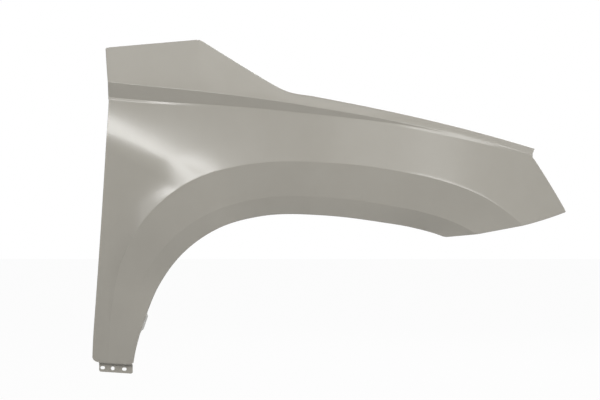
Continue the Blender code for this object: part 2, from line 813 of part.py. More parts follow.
def build_fender():
    """The sheet, its punches, and the point of the mounting pad."""
    sheet = Sheet()
    punches = bmesh.new()
    first = sheet.first

    lip = add_lip(sheet)
    punch_tabs(punches, lip, sheet, 1, "lip", CLIP_HOLE, CLIP_HOLE)
    punch_row(punches, lip, LIP_CLIP_SHARES, CLIP_HOLE, CLIP_HOLE)

    door = add_door(sheet)[: first["corner"]]
    punch_tabs(punches, door, sheet, 1, "door", BOLT_HOLE, BOLT_HOLE)
    corner = add_corner(sheet)
    punch_tabs(punches, corner, sheet, first["corner"] + 1, "corner", BOLT_HOLE, BOLT_HOLE)
    headlamp = add_headlamp(sheet)
    punch_tabs(punches, headlamp, sheet, first["headlamp"] + 1, "headlamp", BOLT_HOLE, BOLT_HOLE)

    gutter = add_gutter(sheet)
    punch_tabs(punches, gutter, sheet, first["pad"], "hood", SLOT_LENGTH, BOLT_HOLE)
    pad = gutter[: first["hood"] - first["pad"] + 1]
    punch_row(punches, pad, (PAD_HOLE_SHARE,), PAD_HOLE, PAD_HOLE)
    pad_point = Flat(pad, length_shares(pad), PAD_POINT_SHARE, ACROSS_SHARE).point - UP * SHEET

    bumper = add_bumper(sheet)
    punch_row(punches, bumper, BUMPER_SLOT_SHARES, SLOT_LENGTH, SLOT_WIDTH)
    sill_tab = add_sill_tab(sheet)
    punch_row(punches, sill_tab, SILL_SLOT_SHARES, SILL_SLOT_LENGTH, SILL_SLOT_WIDTH)
    punch_row(punches, sill_tab, (SILL_BOLT_SHARE,), BOLT_HOLE, BOLT_HOLE)
    return sheet.mesh, punches, pad_point


def face_outboard(bm):
    """Turns the sheet's faces to the painted side."""
    bmesh.ops.recalc_face_normals(bm, faces=bm.faces)
    if sum(face.normal.y * face.calc_area() for face in bm.faces) > 0:
        bmesh.ops.reverse_faces(bm, faces=bm.faces)


def object_from(bm, name):
    mesh = bpy.data.meshes.new(name)
    bm.to_mesh(mesh)
    bm.free()
    item = bpy.data.objects.new(name, mesh)
    bpy.context.scene.collection.objects.link(item)
    return item


def primer_material():
    material = bpy.data.materials.new("grey_primer")
    material.use_nodes = True
    shader = material.node_tree.nodes["Principled BSDF"]
    shader.inputs["Base Color"].default_value = PRIMER_COLOUR
    shader.inputs["Roughness"].default_value = PRIMER_ROUGHNESS
    shader.inputs["Metallic"].default_value = 0.0
    return material


def cut_and_thicken(fender, punches):
    """Gives the sheet its thickness inboard of the painted side, and punches it."""
    thickness = fender.modifiers.new("sheet_thickness", "SOLIDIFY")
    thickness.thickness = SHEET
    thickness.offset = -1.0
    thickness.use_even_offset = True
    holes = fender.modifiers.new("punched_holes", "BOOLEAN")
    holes.operation = "DIFFERENCE"
    holes.solver = "EXACT"
    holes.object = punches
    graph = bpy.context.evaluated_depsgraph_get()
    made = bpy.data.meshes.new_from_object(fender.evaluated_get(graph))
    fender.modifiers.clear()
    fender.data = made
    bpy.data.objects.remove(punches, do_unlink=True)
    made.shade_smooth()
    made.set_sharp_from_angle(angle=math.radians(SHARP_ANGLE))


def main():
    clear_scene()
    sheet_mesh, punch_mesh, pad_point = build_fender()
    face_outboard(sheet_mesh)
    bmesh.ops.recalc_face_normals(punch_mesh, faces=punch_mesh.faces)
    fender = object_from(sheet_mesh, "fender_panel")
    fender.data.materials.append(primer_material())
    cut_and_thicken(fender, object_from(punch_mesh, "hole_punches"))
    fender.location = -pad_point


main()
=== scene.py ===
"""Right-hand front fender of a car, as a primed service panel: its looks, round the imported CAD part.

All lengths are in metres. The panel is drawn about the wheel's centre, with +X to the front of the car,
+Z up and +Y inboard, so its primed outer side faces -Y. WHEEL_CENTRE then puts it in the CAD frame.
"""

import math
from bisect import bisect_right

import bmesh
import bpy
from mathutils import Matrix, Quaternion, Vector


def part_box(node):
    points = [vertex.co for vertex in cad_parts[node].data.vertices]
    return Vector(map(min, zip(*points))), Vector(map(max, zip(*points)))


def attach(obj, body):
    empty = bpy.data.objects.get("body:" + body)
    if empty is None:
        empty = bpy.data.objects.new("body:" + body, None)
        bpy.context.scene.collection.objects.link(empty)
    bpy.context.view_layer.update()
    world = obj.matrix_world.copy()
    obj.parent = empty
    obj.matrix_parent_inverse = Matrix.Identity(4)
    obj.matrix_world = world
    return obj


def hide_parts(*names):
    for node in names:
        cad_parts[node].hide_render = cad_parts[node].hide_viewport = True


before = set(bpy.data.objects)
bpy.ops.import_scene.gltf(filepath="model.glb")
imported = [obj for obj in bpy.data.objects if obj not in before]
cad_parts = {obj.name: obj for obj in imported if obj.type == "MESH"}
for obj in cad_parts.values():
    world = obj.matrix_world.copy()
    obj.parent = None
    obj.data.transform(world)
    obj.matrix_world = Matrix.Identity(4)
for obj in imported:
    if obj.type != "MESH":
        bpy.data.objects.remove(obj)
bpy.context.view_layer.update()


# Camera
#
# A long lens level with the flare, square to the side of the car, so that the leg and the nose keep
# the proportions that they have on the car.

WHEEL_CENTRE = Vector((0.06722, -0.04574, -0.67898))
CAMERA_PLACE = Vector((-0.024, -4.0, 0.456))
CAMERA_LENS_MM = 100.0
CAMERA_SENSOR_MM = 36.0

camera_data = bpy.data.cameras.new("camera")
camera_data.lens = CAMERA_LENS_MM
camera_data.sensor_width = CAMERA_SENSOR_MM
camera = bpy.data.objects.new("camera", camera_data)
camera.location = WHEEL_CENTRE + CAMERA_PLACE
camera.rotation_euler = (math.radians(90), 0.0, 0.0)
bpy.context.scene.collection.objects.link(camera)
bpy.context.scene.camera = camera


# Skin of the fender
#
# One deep-drawn steel sheet. Sections cross it from the arch edge to the hood edge: the lip band and
# the flare round the wheel, the side panel with its haunch, and the creased shoulder above it.

ARCH_RADIUS = 0.4203
ARCH_SHARES = (
    (176, 1.031), (158, 1.031), (145, 1.053), (132, 1.0665), (119, 1.0585), (106, 1.029),
    (90, 0.999), (78, 1.005), (67, 1.038), (57, 1.099), (48, 1.167), (34, 1.265),
)
ARCH_END_ANGLE = 47.8
LIP_BAND = 0.042
LIP_BAND_SHARES = ((176, 0.62), (158, 0.85), (145, 0.96), (120, 0.97), (90, 1.01), (60, 1.03), (34, 1.05))
FLARE_BAND = 0.088
FLARE_BAND_SHARES = (
    (176, 0.30), (165, 0.42), (158, 0.53), (150, 0.67), (143, 0.79), (136, 0.89), (127, 0.977),
    (118, 1.012), (110, 0.99), (96, 0.95), (82, 0.95), (64, 1.005), (48, 1.03), (34, 0.99),
)
FLARE_DEPTH = 0.014
LIP_DEPTH = 0.014
ARCH_DEPTH_SHARES = (
    (176, 0.0), (166, 0.04), (157, 0.22), (150, 0.52), (143, 0.84), (135, 1.0), (120, 1.0), (70, 1.0),
    (56, 1.3), (44, 1.6), (34, 1.7),
)
SWELL = 0.0115
SWELL_WIDTH = 0.075
SWELL_SHARES = (
    (158, 0.0), (150, 0.10), (142, 0.56), (134, 1.0), (127, 0.78), (120, 0.30), (113, 0.05),
    (106, 0.0), (98, 0.0),
)

# Slight roll of the metal just above the flare crest near the nose
FLARE_ROLL = 0.0005
FLARE_ROLL_WIDTH = 0.006
FLARE_ROLL_SHARES = ((34, 0.0), (42, 0.4), (48, 1.0), (60, 1.0), (66, 0.5), (74, 0.0), (82, 0.0))

DOOR_REACH = 0.4872
DOOR_LEAN = 0.042
DOOR_LEAN_POWER = 1.2
SILL_HEIGHT = 0.060
SILL_FALL = 0.032
LEG_CORNER_RADIUS = 0.015

SHOULDER_HEIGHT = 0.6628
SHOULDER_TILT = 0.0400
SHOULDER_DROOP = 0.0497
SHOULDER_SWAY = 0.0036
SHOULDER_SWAY_SHARES = (
    (-1.0, 0.65), (-0.80, 0.42), (-0.55, 0.90), (-0.28, 1.10), (-0.13, 0.70), (0.0, 0.25),
    (0.13, 0.0), (0.26, 0.10), (0.40, 0.45), (0.60, 0.25), (1.0, 0.10),
)
SHOULDER_INSET = 0.011
SHOULDER_DOOR_INSET = 0.031
DOOR_SLOPE = 0.04
CROWN_SLOPE = 0.075
HAUNCH_SLOPE = 0.195
HAUNCH_POWER = 1.2
HAUNCH_AT_DOOR = 0.070
HAUNCH_FALL = 0.209
HAUNCH_RUNOUT = 0.060
TUCK = 0.024
TUCK_BELOW = 0.200
LEDGE_HEIGHT = 0.0055
LEDGE_SLOPE_SHARES = (
    (-1.0, 0.85), (-0.85, 0.85), (-0.69, 0.52), (-0.54, 0.32), (-0.40, 0.25), (0.25, 0.25), (0.40, 0.8),
    (0.62, 1.25), (0.74, 0.9), (0.86, 0.4), (1.0, 0.2),
)
LEDGE_SLOPE = 0.26
CREST_BAND = 0.037
CREST_BAND_SHARES = (
    (-1.0, 0.97), (-0.80, 0.935), (-0.55, 0.815), (-0.25, 0.63), (-0.10, 0.55), (0.0, 0.46), (0.13, 0.36),
    (0.26, 0.25), (0.39, 0.13), (0.55, 0.08), (0.70, 0.08), (1.0, 0.08),
)
CREST_LEAN = 0.34
CREST_LEAN_SHARES = ((-1.0, 1.0), (0.0, 1.05), (0.36, 1.0), (0.54, 0.1), (0.70, -1.2), (1.0, -1.4))

COWL_REACH = 0.2694
COWL_HEIGHT = 0.8469
COWL_FALL = 0.0180
COWL_SLOPE = 0.64
CORNER_LEAN = 0.0105
COWL_INSET = 0.070
CORNER_INSET = 0.005
CORNER_CROWN = 0.0035
HOOD_RISE = 0.0432
HOOD_NOSE_RISE = 0.0185
HOOD_BLEND = 0.016
HOOD_INSET = 0.025
HOOD_TIP = 0.0075
HOOD_CROWN = 0.0004
HEADLAMP_REACH = 0.556
HEADLAMP_BOW = 0.001
NOSE_REACH = 0.6457
NOSE_HEIGHT = 0.427
NOSE_SWEEP = 0.200
NOSE_SWEEP_POWER = 2.2
BUMPER_BOW = 0.011
PAD_REAR = 0.128
PAD_FRONT = 0.046

BEND_RADIUS = 0.0022
CREASE_WIDTH = 0.003
SEGMENTS = ("door", "corner", "cowl", "pad", "hood", "headlamp")
STATIONS = (96, 36, 30, 14, 104, 34)
STATION_GAP_SHARE = 0.35
ARCH_BREAK_ANGLES = (127, 110, 99, 92.7, 57)
CREASE_BREAK_ANGLES = (127, 110.5, 99.3, 92.9, 54)
CREST_BREAK_ANGLES = (126, 111, 99.8, 93.2, 49)
SILL_SEARCH_ANGLES = (185, 150)
BUMPER_SEARCH_ANGLES = (35, 56)
LIP_ROWS = 8
FLARE_ROWS = 12
PANEL_ROWS = 44
LEDGE_ROWS = 3
CREST_ROWS = 5
UPPER_ROWS = 12
EDGE_ROW = LIP_ROWS + FLARE_ROWS + PANEL_ROWS
EASE_SHARE = 0.15


def read(table, place):
    """The value of a table of (place, value) rows at a place, on a smooth curve through the rows."""
    rows = sorted(table)
    last = len(rows) - 1
    place = min(max(place, rows[0][0]), rows[last][0])
    low = min(bisect_right([row[0] for row in rows], place) - 1, last - 1)

    def slope(index):
        before = rows[max(index - 1, 0)]
        after = rows[min(index + 1, last)]
        return (after[1] - before[1]) / (after[0] - before[0])

    span = rows[low + 1][0] - rows[low][0]
    part = (place - rows[low][0]) / span
    square, cube = part**2, part**3
    return (
        (2 * cube - 3 * square + 1) * rows[low][1]
        + (3 * square - 2 * cube) * rows[low + 1][1]
        + (cube - 2 * square + part) * span * slope(low)
        + (cube - square) * span * slope(low + 1)
    )


def mix(start, end, part):
    return start + (end - start) * part


def plan_sweep(x):
    """How far the body has turned inboard towards the nose."""
    return NOSE_SWEEP * (max(x, 0.0) / NOSE_REACH) ** NOSE_SWEEP_POWER


def signed_share(x):
    """A place along the car as a share of the panel's reach: -1 at the door edge, 1 at the headlamp."""
    return x / DOOR_REACH if x < 0 else x / HEADLAMP_REACH


def shoulder_level(x):
    level = SHOULDER_HEIGHT - SHOULDER_TILT * x / DOOR_REACH
    return level - SHOULDER_DROOP * (max(x, 0.0) / HEADLAMP_REACH) ** 2


def shoulder_height(x):
    return shoulder_level(x) + SHOULDER_SWAY * read(SHOULDER_SWAY_SHARES, signed_share(x))


def haunch_drop(x, below):
    """How far the side panel has come out from the shoulder at a distance below it."""
    forward = min(max(1.0 + x / DOOR_REACH, 0.0), 1.0)
    first = mix(DOOR_SLOPE, CROWN_SLOPE, forward)
    steepest = HAUNCH_AT_DOOR + HAUNCH_FALL * forward
    part = min(below, steepest) / steepest
    out = first * min(below, steepest)
    out += (HAUNCH_SLOPE - first) * steepest * max(part, 0.0) ** (HAUNCH_POWER + 1) / (HAUNCH_POWER + 1)
    past = min(max(below - steepest, 0.0), HAUNCH_RUNOUT)
    return out + HAUNCH_SLOPE * (past - past**2 / (2 * HAUNCH_RUNOUT))


def leg_tuck(x, below):
    """How far the leg turns back in towards the sill."""
    reach = SHOULDER_HEIGHT + SHOULDER_TILT - SILL_HEIGHT - TUCK_BELOW
    part = max(below - TUCK_BELOW, 0.0) / reach
    return TUCK * part**2 * min(max(-x, 0.0) / DOOR_REACH, 1.0)


def panel_depth(x, z):
    below = shoulder_height(x) - z
    inset = SHOULDER_INSET + SHOULDER_DOOR_INSET * max(-x, 0.0) / DOOR_REACH
    return plan_sweep(x) + inset - haunch_drop(x, below) + leg_tuck(x, below)


def swell_at(angle, distance):
    """The swell that carries the side panel out to the flare behind the wheel."""
    part = max(1.0 - distance / SWELL_WIDTH, 0.0)
    return SWELL * read(SWELL_SHARES, angle) * part**2


def arch_radius(angle):
    return ARCH_RADIUS * read(ARCH_SHARES, angle) + BEND_RADIUS


def crease_radius(angle):
    return arch_radius(angle) + LIP_BAND * read(LIP_BAND_SHARES, angle)


def crest_radius(angle):
    return crease_radius(angle) + FLARE_BAND * read(FLARE_BAND_SHARES, angle)


def polar(radius_at, angle):
    radius = radius_at(angle)
    return radius * math.cos(math.radians(angle)), radius * math.sin(math.radians(angle))


def sill_line(x):
    return SILL_HEIGHT - SILL_FALL * (x + DOOR_REACH) / DOOR_REACH


def bumper_line(x):
    start_x, start_z = polar(arch_radius, ARCH_END_ANGLE)
    part = (x - start_x) / (NOSE_REACH - start_x)
    return mix(start_z, NOSE_HEIGHT, part) - BUMPER_BOW * 4 * part * (1 - part)


def meeting_angle(radius_at, line, below_angle, above_angle):
    """The angle where a rail crosses a line, between an angle below the line and one above it."""
    for _ in range(50):
        middle = (below_angle + above_angle) / 2
        x, z = polar(radius_at, middle)
        if z < line(x):
            below_angle = middle
        else:
            above_angle = middle
    return (below_angle + above_angle) / 2


def rail_breaks(radius_at, angles, end):
    """The angles of a rail at the foot of the leg, at each break between segments, and at the bumper."""
    return [meeting_angle(radius_at, sill_line, *SILL_SEARCH_ANGLES), *angles, end]


ARCH_BREAKS = rail_breaks(arch_radius, ARCH_BREAK_ANGLES, ARCH_END_ANGLE)
CREASE_BREAKS = rail_breaks(
    crease_radius, CREASE_BREAK_ANGLES, meeting_angle(crease_radius, bumper_line, *BUMPER_SEARCH_ANGLES)
)
CREST_BREAKS = rail_breaks(
    crest_radius, CREST_BREAK_ANGLES, meeting_angle(crest_radius, bumper_line, *BUMPER_SEARCH_ANGLES)
)


def door_edge(part):
    top = shoulder_height(-DOOR_REACH) - LEDGE_HEIGHT
    foot = sill_line(-DOOR_REACH) + LEG_CORNER_RADIUS
    return -DOOR_REACH - DOOR_LEAN * (1 - part) ** DOOR_LEAN_POWER, mix(foot, top, part)


def headlamp_edge(part):
    bow = HEADLAMP_BOW * 4 * part * (1 - part)
    top = shoulder_height(HEADLAMP_REACH) - LEDGE_HEIGHT
    return mix(HEADLAMP_REACH, NOSE_REACH, part) + bow, mix(top, NOSE_HEIGHT, part) + bow


def hood_line(x):
    part = max(x, 0.0) / HEADLAMP_REACH
    return shoulder_level(x) + mix(HOOD_RISE, HOOD_NOSE_RISE, 1 - (1 - min(part, 1.0)) ** 2)


def upper_edge(x):
    """Height of the top edge: the upper corner, the slope down from the cowl and the hood edge."""
    if x <= -COWL_REACH:
        return COWL_HEIGHT - COWL_FALL * (-x - COWL_REACH) / (DOOR_REACH - COWL_REACH)
    slope = COWL_HEIGHT - COWL_SLOPE * (x + COWL_REACH)
    hood = hood_line(x)
    return (slope + hood + math.hypot(slope - hood, HOOD_BLEND)) / 2


def upper_inset(x):
    """Depth of the top edge, which comes out from the cowl to the hood."""
    if x <= -COWL_REACH:
        return COWL_INSET + CORNER_INSET * (-x - COWL_REACH) / (DOOR_REACH - COWL_REACH)
    part = min((x + COWL_REACH) / (COWL_REACH - PAD_FRONT), 1.0)
    return plan_sweep(x) + mix(COWL_INSET, HOOD_INSET, part**2 * (3 - 2 * part))


def outer_place(name, part):
    """The outer edge of the side panel within a segment."""
    if name == "door":
        return door_edge(part)
    if name == "headlamp":
        return headlamp_edge(part)
    stops = (-DOOR_REACH, -COWL_REACH, -PAD_REAR, -PAD_FRONT, HEADLAMP_REACH)
    segment = SEGMENTS.index(name)
    x = mix(stops[segment - 1], stops[segment], part)
    return x, shoulder_height(x) - LEDGE_HEIGHT


def foot_shift(start, end, part):
    """From the straight line across the leg's foot to its real edge: the sill line and a round corner."""
    turn_x = end[0] + LEG_CORNER_RADIUS
    level = sill_line(turn_x)
    if part <= 0.5:
        x, z = mix(start[0], turn_x, 2 * part), mix(start[1], level, 2 * part)
    else:
        angle = math.radians(90) * (2 * part - 1)
        x = turn_x - LEG_CORNER_RADIUS * math.sin(angle)
        z = level + (end[1] - level) * (1 - math.cos(angle))
    return x - mix(start[0], end[0], part), z - mix(start[1], end[1], part)


def bumper_shift(part):
    """From the straight line between the flare crest and the nose to the bowed bumper edge."""
    start = polar(crest_radius, CREST_BREAKS[-1])
    x, z = mix(start[0], NOSE_REACH, part), mix(start[1], NOSE_HEIGHT, part)
    return 0.0, bumper_line(x) - z


def band(start, end, rows):
    """Points from one rail up to the next: even, but for one close beside each rail, for its radius."""
    close = min(CREASE_WIDTH / 2 / max((end - start).length, CREASE_WIDTH), 0.5 / rows)
    shares = [0.0, close, *(step / (rows - 1) for step in range(1, rows - 2)), 1 - close]
    return [start.lerp(end, share) for share in shares[:rows]]


def upper_points(x, ledge):
    """The station above the side panel: shoulder crease, crest, and the face up to the top edge."""
    place = signed_share(x)
    slope = LEDGE_SLOPE * read(LEDGE_SLOPE_SHARES, place)
    crease = ledge + Vector((0.0, slope * LEDGE_HEIGHT, LEDGE_HEIGHT))
    width = CREST_BAND * read(CREST_BAND_SHARES, place)
    crest = crease + Vector((0.0, -CREST_LEAN * read(CREST_LEAN_SHARES, place) * width, width))
    if x <= -COWL_REACH:
        lean = -CORNER_LEAN * (x + COWL_REACH) / (COWL_REACH - DOOR_REACH)
        crown = CORNER_CROWN
    else:
        lean = HOOD_TIP * (x + COWL_REACH) / (HEADLAMP_REACH + COWL_REACH)
        crown = mix(CORNER_CROWN, HOOD_CROWN, (x + COWL_REACH) / (HEADLAMP_REACH + COWL_REACH))
    edge = Vector((x + lean, upper_inset(x + lean), upper_edge(x + lean)))
    across = Vector((1.0, 0.0, 0.0)).cross(edge - crest).normalized()
    points = band(ledge, crease, LEDGE_ROWS)[1:] + band(crease, crest, CREST_ROWS)
    length = (edge - crest).length
    for point in [*band(crest, edge, UPPER_ROWS), edge]:
        part = (point - crest).length / length
        points.append(point + across * crown * 4 * part * (1 - part))
    return points


def station(segment, part):
    """One section: its points from the arch edge to the outer edge of the sheet."""
    name = SEGMENTS[segment]
    arch, crease, crest = (
        polar(radius_at, mix(breaks[segment], breaks[segment + 1], part))
        for radius_at, breaks in (
            (arch_radius, ARCH_BREAKS), (crease_radius, CREASE_BREAKS), (crest_radius, CREST_BREAKS)
        )
    )
    crest_angle = mix(CREST_BREAKS[segment], CREST_BREAKS[segment + 1], part)
    outer = outer_place(name, part)
    crest_depth = panel_depth(*crest) - swell_at(crest_angle, 0.0)
    relief = crest_depth - plan_sweep(crest[0])
    share = read(ARCH_DEPTH_SHARES, crest_angle)
    roll = FLARE_ROLL * read(FLARE_ROLL_SHARES, crest_angle)
    rails = (
        Vector((arch[0], plan_sweep(arch[0]) + relief + (FLARE_DEPTH + LIP_DEPTH) * share, arch[1])),
        Vector((crease[0], plan_sweep(crease[0]) + relief + FLARE_DEPTH * share, crease[1])),
        Vector((crest[0], crest_depth - roll, crest[1])),
    )
    points = band(rails[0], rails[1], LIP_ROWS) + band(rails[1], rails[2], FLARE_ROWS)
    outer_rail = Vector((outer[0], 0.0, outer[1]))
    crest_rail = Vector((crest[0], 0.0, crest[1]))
    length = (outer_rail - crest_rail).length
    for point in [*band(crest_rail, outer_rail, PANEL_ROWS), outer_rail]:
        across = (point - crest_rail).length / length
        shift = (0.0, 0.0)
        ease = 0.0
        if name == "door" and part < EASE_SHARE:
            shift, ease = foot_shift(FOOT_CREST, door_edge(0), across), (1 - part / EASE_SHARE) ** 2
        if name == "headlamp":
            shift, ease = bumper_shift(across), part**2
        x, z = point.x + shift[0] * ease, point.z + shift[1] * ease
        rolled = roll * max(1 - across * length / FLARE_ROLL_WIDTH, 0.0) ** 2
        points.append(Vector((x, panel_depth(x, z) - swell_at(crest_angle, across * length) - rolled, z)))
    if (name == "door" and part < 1) or (name == "headlamp" and part > 0):
        return points
    return points + upper_points(outer[0], points[-1])


FOOT_CREST = polar(crest_radius, CREST_BREAKS[0])


# Folded edges
#
# Every free edge is folded inboard on a small bend radius, in the press that trims it. The folds
# stiffen the panel, and widen into tabs and ears where it is bolted to the car.

BEND_STEPS = 5
LIP_RETURN = 0.013
LIP_LEAN_ANGLE = 8
DOOR_RETURN = 0.015
DOOR_LEAN_ANGLE = 6
CORNER_RETURN = 0.014
COWL_RETURN = 0.013
COWL_LEAN_ANGLE = 16
GUTTER_DEPTH = 0.030
GUTTER_WIDTH = 0.027
HEADLAMP_RETURN = 0.014
BUMPER_RETURN = 0.019
SILL_TAB_JOGGLE = 0.006
SILL_TAB_HEIGHT = 0.0200
SILL_TAB_CORNER = 0.003
TAB_SHOULDER = 0.010
LINER_TAB_WIDTH = 0.022
LINER_TAB_LENGTH = 0.033
LINER_TAB_LEAN_ANGLE = -9
DOOR_TAB_WIDTH = 0.034
DOOR_TAB_LENGTH = 0.070
CORNER_TAB_WIDTH = 0.032
CORNER_TAB_LENGTH = 0.060
GUTTER_EAR_WIDTH = 0.035
GUTTER_EAR_LENGTH = 0.045
HEADLAMP_TAB_WIDTH = 0.028
HEADLAMP_TAB_LENGTH = 0.050
INBOARD = Vector((0.0, 1.0, 0.0))
FORWARD = Vector((1.0, 0.0, 0.0))
UP = Vector((0.0, 0.0, 1.0))

# Each fold's tabs: the segment that they stand in, the length of that stretch of edge, the shares of it
# where their middles are, and their length
TABS = {
    "lip": ("door", ARCH_RADIUS * math.radians(ARCH_BREAKS[0] - ARCH_BREAKS[1]), (0.305,), LINER_TAB_LENGTH),
    "door": ("door", math.dist(door_edge(0), door_edge(1)), (0.31, 0.86), DOOR_TAB_LENGTH),
    "corner": ("corner", DOOR_REACH - COWL_REACH, (0.5,), CORNER_TAB_LENGTH),
    "hood": ("hood", HEADLAMP_REACH + PAD_FRONT, (0.22, 0.52, 0.82), GUTTER_EAR_LENGTH),
    "headlamp": ("headlamp", math.dist(headlamp_edge(0), headlamp_edge(1)), (0.5,), HEADLAMP_TAB_LENGTH),
}

# Where the flats of the folds start or stop short of a corner to clear each other, as shares of each
# stretch of edge, and in rows where the fold runs up a section. Only the bend goes on to the corner
FOLD_STOPS = {
    "door": (0.05,),
    "corner": (0.1, 0.9),
    "cowl": (0.167,),
    "hood": (0.947,),
    "headlamp": (0.125, 0.875),
}
REAR_STOP_ROWS = UPPER_ROWS // 4
BUMPER_STOP_ROWS = (LIP_ROWS // 2, PANEL_ROWS // 12)


def tab_share(fold_name, reach):
    """How far a fold has widened into a tab at a reach: 0 where it is plain, 1 on the tab."""
    name, run, middles, length = TABS[fold_name]
    past = min(abs(reach - SEGMENTS.index(name) - middle) * run - length / 2 for middle in middles)
    return 1 - min(max(past / TAB_SHOULDER, 0.0), 1.0)


def station_places(segment):
    """The shares of a segment where its stations stand: ends of flats, tabs' corners, even steps."""
    count = STATIONS[segment]
    gap = STATION_GAP_SHARE / count
    places = [0.0, *FOLD_STOPS.get(SEGMENTS[segment], ())]
    for name, run, middles, length in TABS.values():
        if name != SEGMENTS[segment]:
            continue
        for middle in middles:
            for reach in (-length / 2 - TAB_SHOULDER, -length / 2, length / 2, length / 2 + TAB_SHOULDER):
                if all(abs(middle + reach / run - place) > gap / 2 for place in places):
                    places.append(middle + reach / run)
    for step in range(count):
        if all(abs(step / count - place) > gap for place in places):
            places.append(step / count)
    return sorted(places)


def fold(start, tangent, direction, length):
    """A bend from the way the sheet runs into a new direction, then a flat of the given length."""
    tangent = tangent.normalized()
    direction = direction.normalized()
    turn = tangent.angle(direction)
    side = (direction - tangent * tangent.dot(direction)).normalized()
    points = []
    for step in range(1, BEND_STEPS + 1):
        angle = turn * step / BEND_STEPS
        points.append(start + BEND_RADIUS * (tangent * math.sin(angle) + side * (1 - math.cos(angle))))
    points.append(points[-1] + direction * length)
    return points


def tilted(toward, angle):
    """The inboard direction, tilted by an angle towards another."""
    return INBOARD * math.cos(math.radians(angle)) + toward * math.sin(math.radians(angle))


reaches, sections, first = [], [], {}
for segment, name in enumerate(SEGMENTS):
    first[name] = len(sections)
    for part in station_places(segment) + ([1.0] if name == SEGMENTS[-1] else []):
        sections.append(station(segment, part))
        reaches.append(segment + part)
last = len(sections) - 1

skin = bmesh.new()
grid = [[skin.verts.new(point) for point in points] for points in sections]


def join_columns(columns):
    for left, right in zip(columns, columns[1:]):
        for row in range(min(len(left), len(right)) - 1):
            skin.faces.new((left[row], right[row], right[row + 1], left[row + 1]))


def add_fold(places, folds, flats):
    """Folds an edge: each column is the skin's vertex at a place (station, row) and the fold's points, or
    just its bend's where the place isn't one of the flats. Returns the flats' columns."""
    columns = []
    for (index, row), points in zip(places, folds):
        shown = points if (index, row) in flats else points[:BEND_STEPS]
        columns.append([grid[index][row]] + [skin.verts.new(point) for point in shown])
    join_columns(columns)
    return [column for column, place in zip(columns, places) if place in flats]


def flat_stations(start_name, end_name):
    """The stations of a fold's flat, from its first stop in one segment to its last stop in another."""
    start = SEGMENTS.index(start_name) + FOLD_STOPS[start_name][0]
    end = SEGMENTS.index(end_name) + FOLD_STOPS[end_name][-1]
    return [index for index, reach in enumerate(reaches) if start <= reach <= end]


join_columns(grid)

# Return of the arch edge, which widens and turns out into the wheel liner's tab on the leg
lip_stations = flat_stations("door", "headlamp")
places = [(index, 0) for index in range(1, last)]
folds = []
for index, _ in places:
    edge, above = sections[index][:2]
    share = tab_share("lip", reaches[index])
    lean = mix(LIP_LEAN_ANGLE, LINER_TAB_LEAN_ANGLE, share)
    radial = Vector((edge.x, 0.0, edge.z)).normalized()
    folds.append(fold(edge, edge - above, tilted(radial, lean), mix(LIP_RETURN, LINER_TAB_WIDTH, share)))
lip_fold = add_fold(places, folds, [(index, 0) for index in lip_stations])

# Return of the door edge, with two tabs, and of the upper corner's rear edge above it
corner = first["corner"]
door_stations = [index for index in lip_stations if index <= corner]
door_flats = [(index, EDGE_ROW) for index in door_stations]
door_flats += [(corner, row) for row in range(EDGE_ROW + 1, len(sections[corner]) - REAR_STOP_ROWS)]
places = [(index, EDGE_ROW) for index in range(1, corner + 1)]
places += [(corner, row) for row in range(EDGE_ROW + 1, len(sections[corner]) - 1)]
folds = []
for index, row in places:
    edge = sections[index][row]
    inner = sections[index][row - 1] if row == EDGE_ROW else sections[index + 1][row]
    width = mix(DOOR_RETURN, DOOR_TAB_WIDTH, tab_share("door", reaches[index]))
    folds.append(fold(edge, edge - inner, tilted(FORWARD, DOOR_LEAN_ANGLE), width))
door_fold = add_fold(places, folds, door_flats)[: len(door_stations)]

# Return along the top of the upper corner, with its tab
corner_stations = flat_stations("corner", "corner")
places = [(index, -1) for index in range(corner + 1, first["cowl"])]
folds = []
for index, _ in places:
    below, edge = sections[index][-2:]
    width = mix(CORNER_RETURN, CORNER_TAB_WIDTH, tab_share("corner", reaches[index]))
    folds.append(fold(edge, edge - below, tilted(-UP, LIP_LEAN_ANGLE), width))
corner_fold = add_fold(places, folds, [(index, -1) for index in corner_stations])

# Return down the cowl's slope, which deepens into the gutter's wall, then the gutter with its pad and ears
def gutter_floor(x):
    return hood_line(max(x, -PAD_FRONT)) - GUTTER_DEPTH


pad_wall = upper_edge(-PAD_REAR) - gutter_floor(-PAD_REAR) - 2 * BEND_RADIUS
gutter_stations = flat_stations("cowl", "hood")
places = [(index, -1) for index in range(first["cowl"] + 1, first["headlamp"])]
folds = []
for index, _ in places:
    below, edge = sections[index][-2:]
    if index < first["pad"]:
        part = reaches[index] - SEGMENTS.index("cowl")
        lean = mix(COWL_LEAN_ANGLE, 90, part)
        folds.append(fold(edge, edge - below, tilted(-UP, lean), mix(COWL_RETURN, pad_wall, part**2)))
    else:
        wall = fold(edge, edge - below, -UP, 0.0)[:-1]
        foot = wall[-1].copy()
        foot.z = gutter_floor(edge.x) + BEND_RADIUS
        width = mix(GUTTER_WIDTH, GUTTER_EAR_WIDTH, tab_share("hood", reaches[index]))
        folds.append(wall + [foot] + fold(foot, -UP, INBOARD, width))
gutter = add_fold(places, folds, [(index, -1) for index in gutter_stations])
gutter = gutter[gutter_stations.index(first["pad"]) :]

# Return of the headlamp edge, with its tab
headlamp_stations = flat_stations("headlamp", "headlamp")
places = [(index, -1) for index in range(first["headlamp"] + 1, last)]
folds = []
for index, _ in places:
    inner, edge = sections[index][-2:]
    width = mix(HEADLAMP_RETURN, HEADLAMP_TAB_WIDTH, tab_share("headlamp", reaches[index]))
    folds.append(fold(edge, edge - inner, tilted(-FORWARD, DOOR_LEAN_ANGLE), width))
headlamp_fold = add_fold(places, folds, [(index, -1) for index in headlamp_stations])

